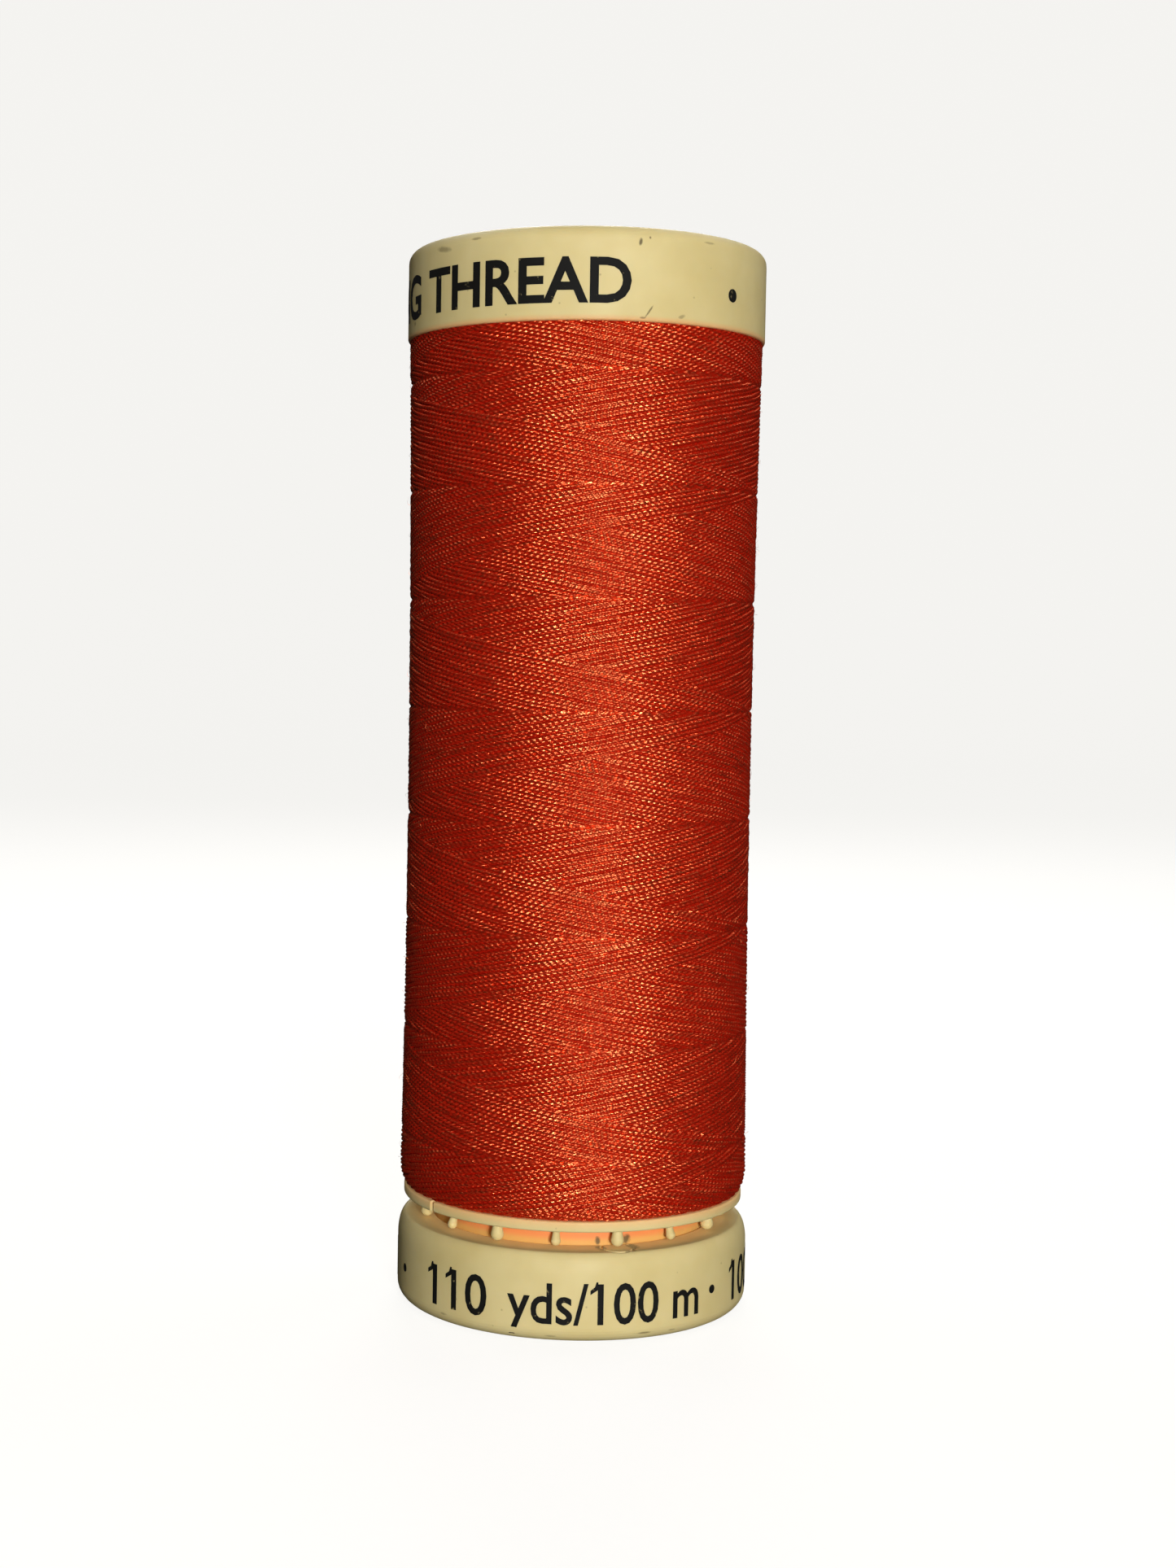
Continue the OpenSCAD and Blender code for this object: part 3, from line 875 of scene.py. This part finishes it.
class SPOOL_OT_mouldings(bpy.types.Operator):
    """Finishes the four moulded pieces"""

    bl_idname = "spool.mouldings"
    bl_label = "Mouldings"

    # dirt and rubs on the sides: angle, height, half width, half height, lean and strength
    TOP_MARKS = (
        (16, 61.1, 0.16, 0.3, 10, 0.9), (19, 61.35, 0.1, 0.12, 0, 0.8),
        (19, 57.35, 0.09, 0.6, 35, 0.75), (17, 57.0, 0.25, 0.08, 0, 0.6),
        (30, 57.2, 0.35, 0.15, -20, 0.45), (-50, 61.2, 0.9, 0.25, 8, 0.5),
        (-36, 61.5, 0.5, 0.12, 0, 0.5), (40, 61.4, 0.6, 0.1, 0, 0.4),
        (84, 58.4, 0.2, 0.8, 15, 0.5), (130, 60.6, 0.8, 0.15, -12, 0.5),
        (190, 58.0, 0.12, 0.9, 28, 0.6), (246, 60.9, 0.7, 0.2, 5, 0.5),
        (290, 57.5, 0.3, 0.2, 0, 0.5))
    BASE_MARKS = (
        (24, 0.5, 0.6, 0.1, 0, 0.6), (34, 0.45, 0.4, 0.08, 0, 0.5), (-6, 0.4, 0.5, 0.08, 0, 0.4),
        (-44, 0.7, 0.4, 0.12, 0, 0.4), (100, 3.4, 0.1, 0.7, 30, 0.5),
        (150, 0.6, 1.0, 0.12, 0, 0.6), (205, 4.0, 0.5, 0.15, -15, 0.5),
        (275, 1.0, 0.15, 0.6, -25, 0.5))
    # painted shadow in the ring round the first tooth and beside it: angle, radius, half sizes
    # and strength
    RING_SHADOW = ((11, 8.95, (0.45, 0.8, 0.4), 0.95), (23, 8.95, (0.5, 0.8, 0.4), 1.0),
                 (20, 9.85, (0.5, 0.25, 0.3), 0.7))
    # and painted shadow on the neck behind it: angle, half sizes and strength, and how far
    # below the lip
    NECK_SHADOW = ((10.5, (0.25, 0.5, 0.35), 0.9), (22.5, (0.4, 0.5, 0.4), 0.9))
    NECK_SHADOW_DOWN = 0.9
    # where each painted glow starts and is full: up from the top collar's edge, on the groove's
    # floor (in from the collar, and out from the neck), out from the neck, and down it from the
    # lip
    COLLAR_GLOW = (0.4, 0)
    FLOOR_GLOW = (0.2, 0.7)
    SIDE_GLOW = (0.3, 0.1)
    NECK_GLOW = (1.05, 0.6)

    def execute(self, context):
        plastic = settings(context)[1]
        top_marks, base_marks_and_shadows = (
            [(angle, COLLAR_R, z, (w, 1, h), lean, strength)
             for angle, z, w, h, lean, strength in marks]
            for marks in (self.TOP_MARKS, self.BASE_MARKS))
        # the ring round the first tooth gets painted shadow, in the dirt colour
        base_marks_and_shadows += [(angle, r, BASE_Z1, sizes, 0, strength)
                       for angle, r, sizes, strength in self.RING_SHADOW]
        # the neck behind it gets painted shadow too
        neck_shadows = [(angle, NECK_R, LIP_Z - self.NECK_SHADOW_DOWN, sizes, 0, strength)
                      for angle, sizes, strength in self.NECK_SHADOW]
        painted_thread_bounce, painted_groove_glow = plastic.painted_thread_bounce, plastic.painted_groove_glow
        collar_up, collar_edge = (COLLAR_Z0 + up for up in self.COLLAR_GLOW)
        floor_out, floor_in = COLLAR_R - self.FLOOR_GLOW[0], NECK_R + self.FLOOR_GLOW[1]
        side_out, side_in = (NECK_R + out for out in self.SIDE_GLOW)
        neck_low, neck_high = (LIP_Z - down for down in self.NECK_GLOW)
        # painted light from the thread: a salmon reflection on the top collar's lower edge, on
        # the lip and on the neck under it, and an amber glow on the groove's floor and the neck's
        # side
        collar = moulded_polystyrene(
            plastic, "moulded ivory polystyrene, top",
            [("height", collar_up, collar_edge, 0.5, painted_thread_bounce, 0)], top_marks)
        base = moulded_polystyrene(
            plastic, "moulded ivory polystyrene, base",
            [("floor radius", floor_out, floor_in, 0.5, painted_groove_glow, 0.45)], base_marks_and_shadows)
        barrel = moulded_polystyrene(
            plastic, "moulded ivory polystyrene, barrel",
            [("height", LIP_Z, WIND_Z0, 0.3, painted_thread_bounce, 0.5),
             ("radius", side_out, side_in, 1.0, painted_groove_glow, 0.02),
             ("neck height", neck_low, neck_high, 0.9, painted_thread_bounce, 0)], neck_shadows)
        tube = moulded_polystyrene(plastic, "moulded ivory polystyrene, tube")
        set_finish("top_collar", collar)
        set_finish("base_collar", base)
        set_finish("spool_barrel", barrel)
        set_finish("spindle_tube", tube)
        return {"FINISHED"}


class SPOOL_OT_labels(bpy.types.Operator):
    """Finishes the two paper labels"""

    bl_idname = "spool.labels"
    bl_label = "Labels"

    def execute(self, context):
        paper = label_paper()
        set_finish("top_label", paper)
        set_finish("base_label", paper)
        return {"FINISHED"}


# The stage

class SPOOL_OT_stage(bpy.types.Operator):
    """Builds the floor, backdrop, lights and camera"""

    bl_idname = "spool.stage"
    bl_label = "Stage"

    # the camera's place in millimetres, its yaw, pitch and roll in degrees, the focal length
    # and the sensor's width in millimetres, and the sideways shift as a share of the picture
    CAMERA_AT = (0, -136.2, 38.65)
    CAMERA_TURN = (-2.63, -3.32, 0.805)
    LENS = 52.35
    SENSOR = 36
    SHIFT = 0.0727
    # the floor: how far out it is level, how far its curve rises and the backdrop's top, in
    # millimetres, the curve's first lean and its steps, and the floor's parts all round
    LEVEL = (0.01, 60, 200, 700)
    RISE = 300
    BACKDROP = 1500
    FIRST_LEAN = 0.08
    CURVE_STEPS = 24
    FLOOR_PARTS = 96
    # each light: azimuth and elevation in degrees, distance and size in millimetres, and its
    # share of the power
    KEY = (10, 5, 320, 60, 1)
    BACKS = ((128, 55, 320, 140, 1), (180, 40, 320, 140, 2), (232, 55, 320, 140, 0.8))

    def execute(self, context):
        stage = settings(context)[2]
        self.camera(context)
        self.floor(stage)
        self.lamp("key light", self.KEY, stage.key_power)
        for number, place in enumerate(self.BACKS, 1):
            self.lamp(f"back light {number}", place, stage.back_power)
        self.ambient(context, stage)
        context.scene.view_settings.view_transform = "Standard"
        return {"FINISHED"}

    def camera(self, context):
        """Places the camera. Yaw turns the view towards +X, pitch lifts it, roll leans it."""
        yaw, pitch, roll = (math.radians(a) for a in self.CAMERA_TURN)
        level = Vector((math.sin(yaw), math.cos(yaw), 0))
        right = Vector((math.cos(yaw), -math.sin(yaw), 0))
        ahead = level * math.cos(pitch) + UP * math.sin(pitch)
        up = UP * math.cos(pitch) - level * math.sin(pitch)
        leaned = right * math.cos(roll) + up * math.sin(roll)
        up = up * math.cos(roll) - right * math.sin(roll)
        turn = Matrix((leaned, up, -ahead)).transposed().to_4x4()
        camera = bpy.data.objects.new("camera", bpy.data.cameras.new("camera"))
        camera.data.lens = self.LENS
        camera.data.sensor_width = self.SENSOR
        camera.data.shift_x = self.SHIFT
        camera.data.clip_start = 5 * MM
        camera.matrix_world = Matrix.Translation(Vector(self.CAMERA_AT) * MM) @ turn
        context.scene.collection.objects.link(camera)
        context.scene.camera = camera

    def floor(self, stage):
        """One sheet: a level floor that curves up into a backdrop on every side. It gives the
        spool no light or shadow."""
        inner = self.LEVEL[-1]
        profile = [(r, 0) for r in self.LEVEL]
        profile += [(inner + self.RISE * math.sin(a), self.RISE * (1 - math.cos(a)))
                    for a in np.linspace(self.FIRST_LEAN, math.pi / 2, self.CURVE_STEPS)]
        profile.append((inner + self.RISE, self.BACKDROP))
        r, h = np.array(profile)[:, :, None].transpose(1, 0, 2)
        angle = np.arange(self.FLOOR_PARTS)[None, :] * TAU / self.FLOOR_PARTS
        mesh = mesh_from_grid("floor", on_cylinder(r, angle, h))
        mesh.flip_normals()
        floor = new_object("floor", mesh, studio_paper(stage))
        floor.visible_diffuse = False
        floor.visible_glossy = False
        floor.visible_transmission = False
        floor.visible_shadow = False

    def lamp(self, name, place, power):
        """A round area light aimed at the spool."""
        azimuth, elevation, distance, size, share = place
        azimuth, elevation = math.radians(azimuth), math.radians(elevation)
        away = Vector((math.sin(azimuth) * math.cos(elevation),
                       -math.cos(azimuth) * math.cos(elevation), math.sin(elevation)))
        light = bpy.data.objects.new(name, bpy.data.lights.new(name, "AREA"))
        light.data.shape = "DISK"
        light.data.size = size * MM
        light.data.energy = power * share
        light.location = (away * distance + UP * COLLAR_Z1 / 2) * MM
        light.rotation_mode = "QUATERNION"
        light.rotation_quaternion = away.to_track_quat("Z", "Y")
        bpy.context.scene.collection.objects.link(light)

    def ambient(self, context, stage):
        """A faint even light from all round."""
        world = bpy.data.worlds.new("studio")
        world.use_nodes = True
        sky = world.node_tree.nodes["Background"]
        sky.inputs["Color"].default_value = rgba(linear("FFFFFF"))
        sky.inputs["Strength"].default_value = stage.world
        context.scene.world = world


def studio_paper(stage):
    """White background paper, matt. Its own light keeps it nearly white, and the spool's
    shadow on it faint."""
    grain_mm = 0.8
    material, tree = new_material("studio background paper")
    place = add_node(tree, "ShaderNodeTexCoord")
    grain = add_node(tree, "ShaderNodeTexNoise", {
        "Vector": place.outputs["Object"], "Scale": 1 / (grain_mm * MM), "Detail": 3})
    tone = add_node(tree, "ShaderNodeMapRange", {
        "Value": grain.outputs["Fac"], "To Min": 0.17, "To Max": 0.2})
    base = add_node(tree, "ShaderNodeMix", {
        "Factor": tone.outputs[0], "A": (0, 0, 0, 1), "B": rgba(stage.floor)},
        data_type="RGBA")
    surface = add_node(tree, "ShaderNodeBsdfPrincipled", {
        "Base Color": base.outputs["Result"], "Roughness": 1.0, "Specular IOR Level": 0.0,
        "Emission Color": rgba(stage.floor), "Emission Strength": 0.97})
    add_node(tree, "ShaderNodeOutputMaterial", {"Surface": surface.outputs[0]})
    return material


class SPOOL_PT_panel(bpy.types.Panel):
    """Lists the builders and their settings."""

    bl_idname = "SPOOL_PT_panel"
    bl_label = "Thread spool"
    bl_space_type = "VIEW_3D"
    bl_region_type = "UI"
    bl_category = "Spool"

    def draw(self, context):
        for group in settings(context):
            box = self.layout.box()
            for name in group.__annotations__:
                box.prop(group, name)
        for operator in OPERATORS:
            self.layout.operator(operator.bl_idname)


GROUPS = {
    "spool_thread": SPOOL_PG_thread,
    "spool_plastic": SPOOL_PG_plastic,
    "spool_stage": SPOOL_PG_stage,
}
OPERATORS = (SPOOL_OT_stage, SPOOL_OT_mouldings, SPOOL_OT_labels, SPOOL_OT_thread, SPOOL_OT_print)


def register():
    """Registers every class, and gives the scene its settings."""
    for group in GROUPS.values():
        bpy.utils.register_class(group)
    for name, group in GROUPS.items():
        setattr(bpy.types.Scene, name, bpy.props.PointerProperty(type=group))
    for operator in (*OPERATORS, SPOOL_PT_panel):
        bpy.utils.register_class(operator)


def unregister():
    """Takes back what register did, in the opposite order."""
    for operator in (SPOOL_PT_panel, *reversed(OPERATORS)):
        bpy.utils.unregister_class(operator)
    for name, group in GROUPS.items():
        delattr(bpy.types.Scene, name)
        bpy.utils.unregister_class(group)


def main():
    """Builds everything."""
    register()
    bpy.ops.spool.stage()
    bpy.ops.spool.mouldings()
    bpy.ops.spool.labels()
    bpy.ops.spool.thread()
    bpy.ops.spool.print()
    bpy.context.view_layer.update()


if __name__ == "__main__":
    main()
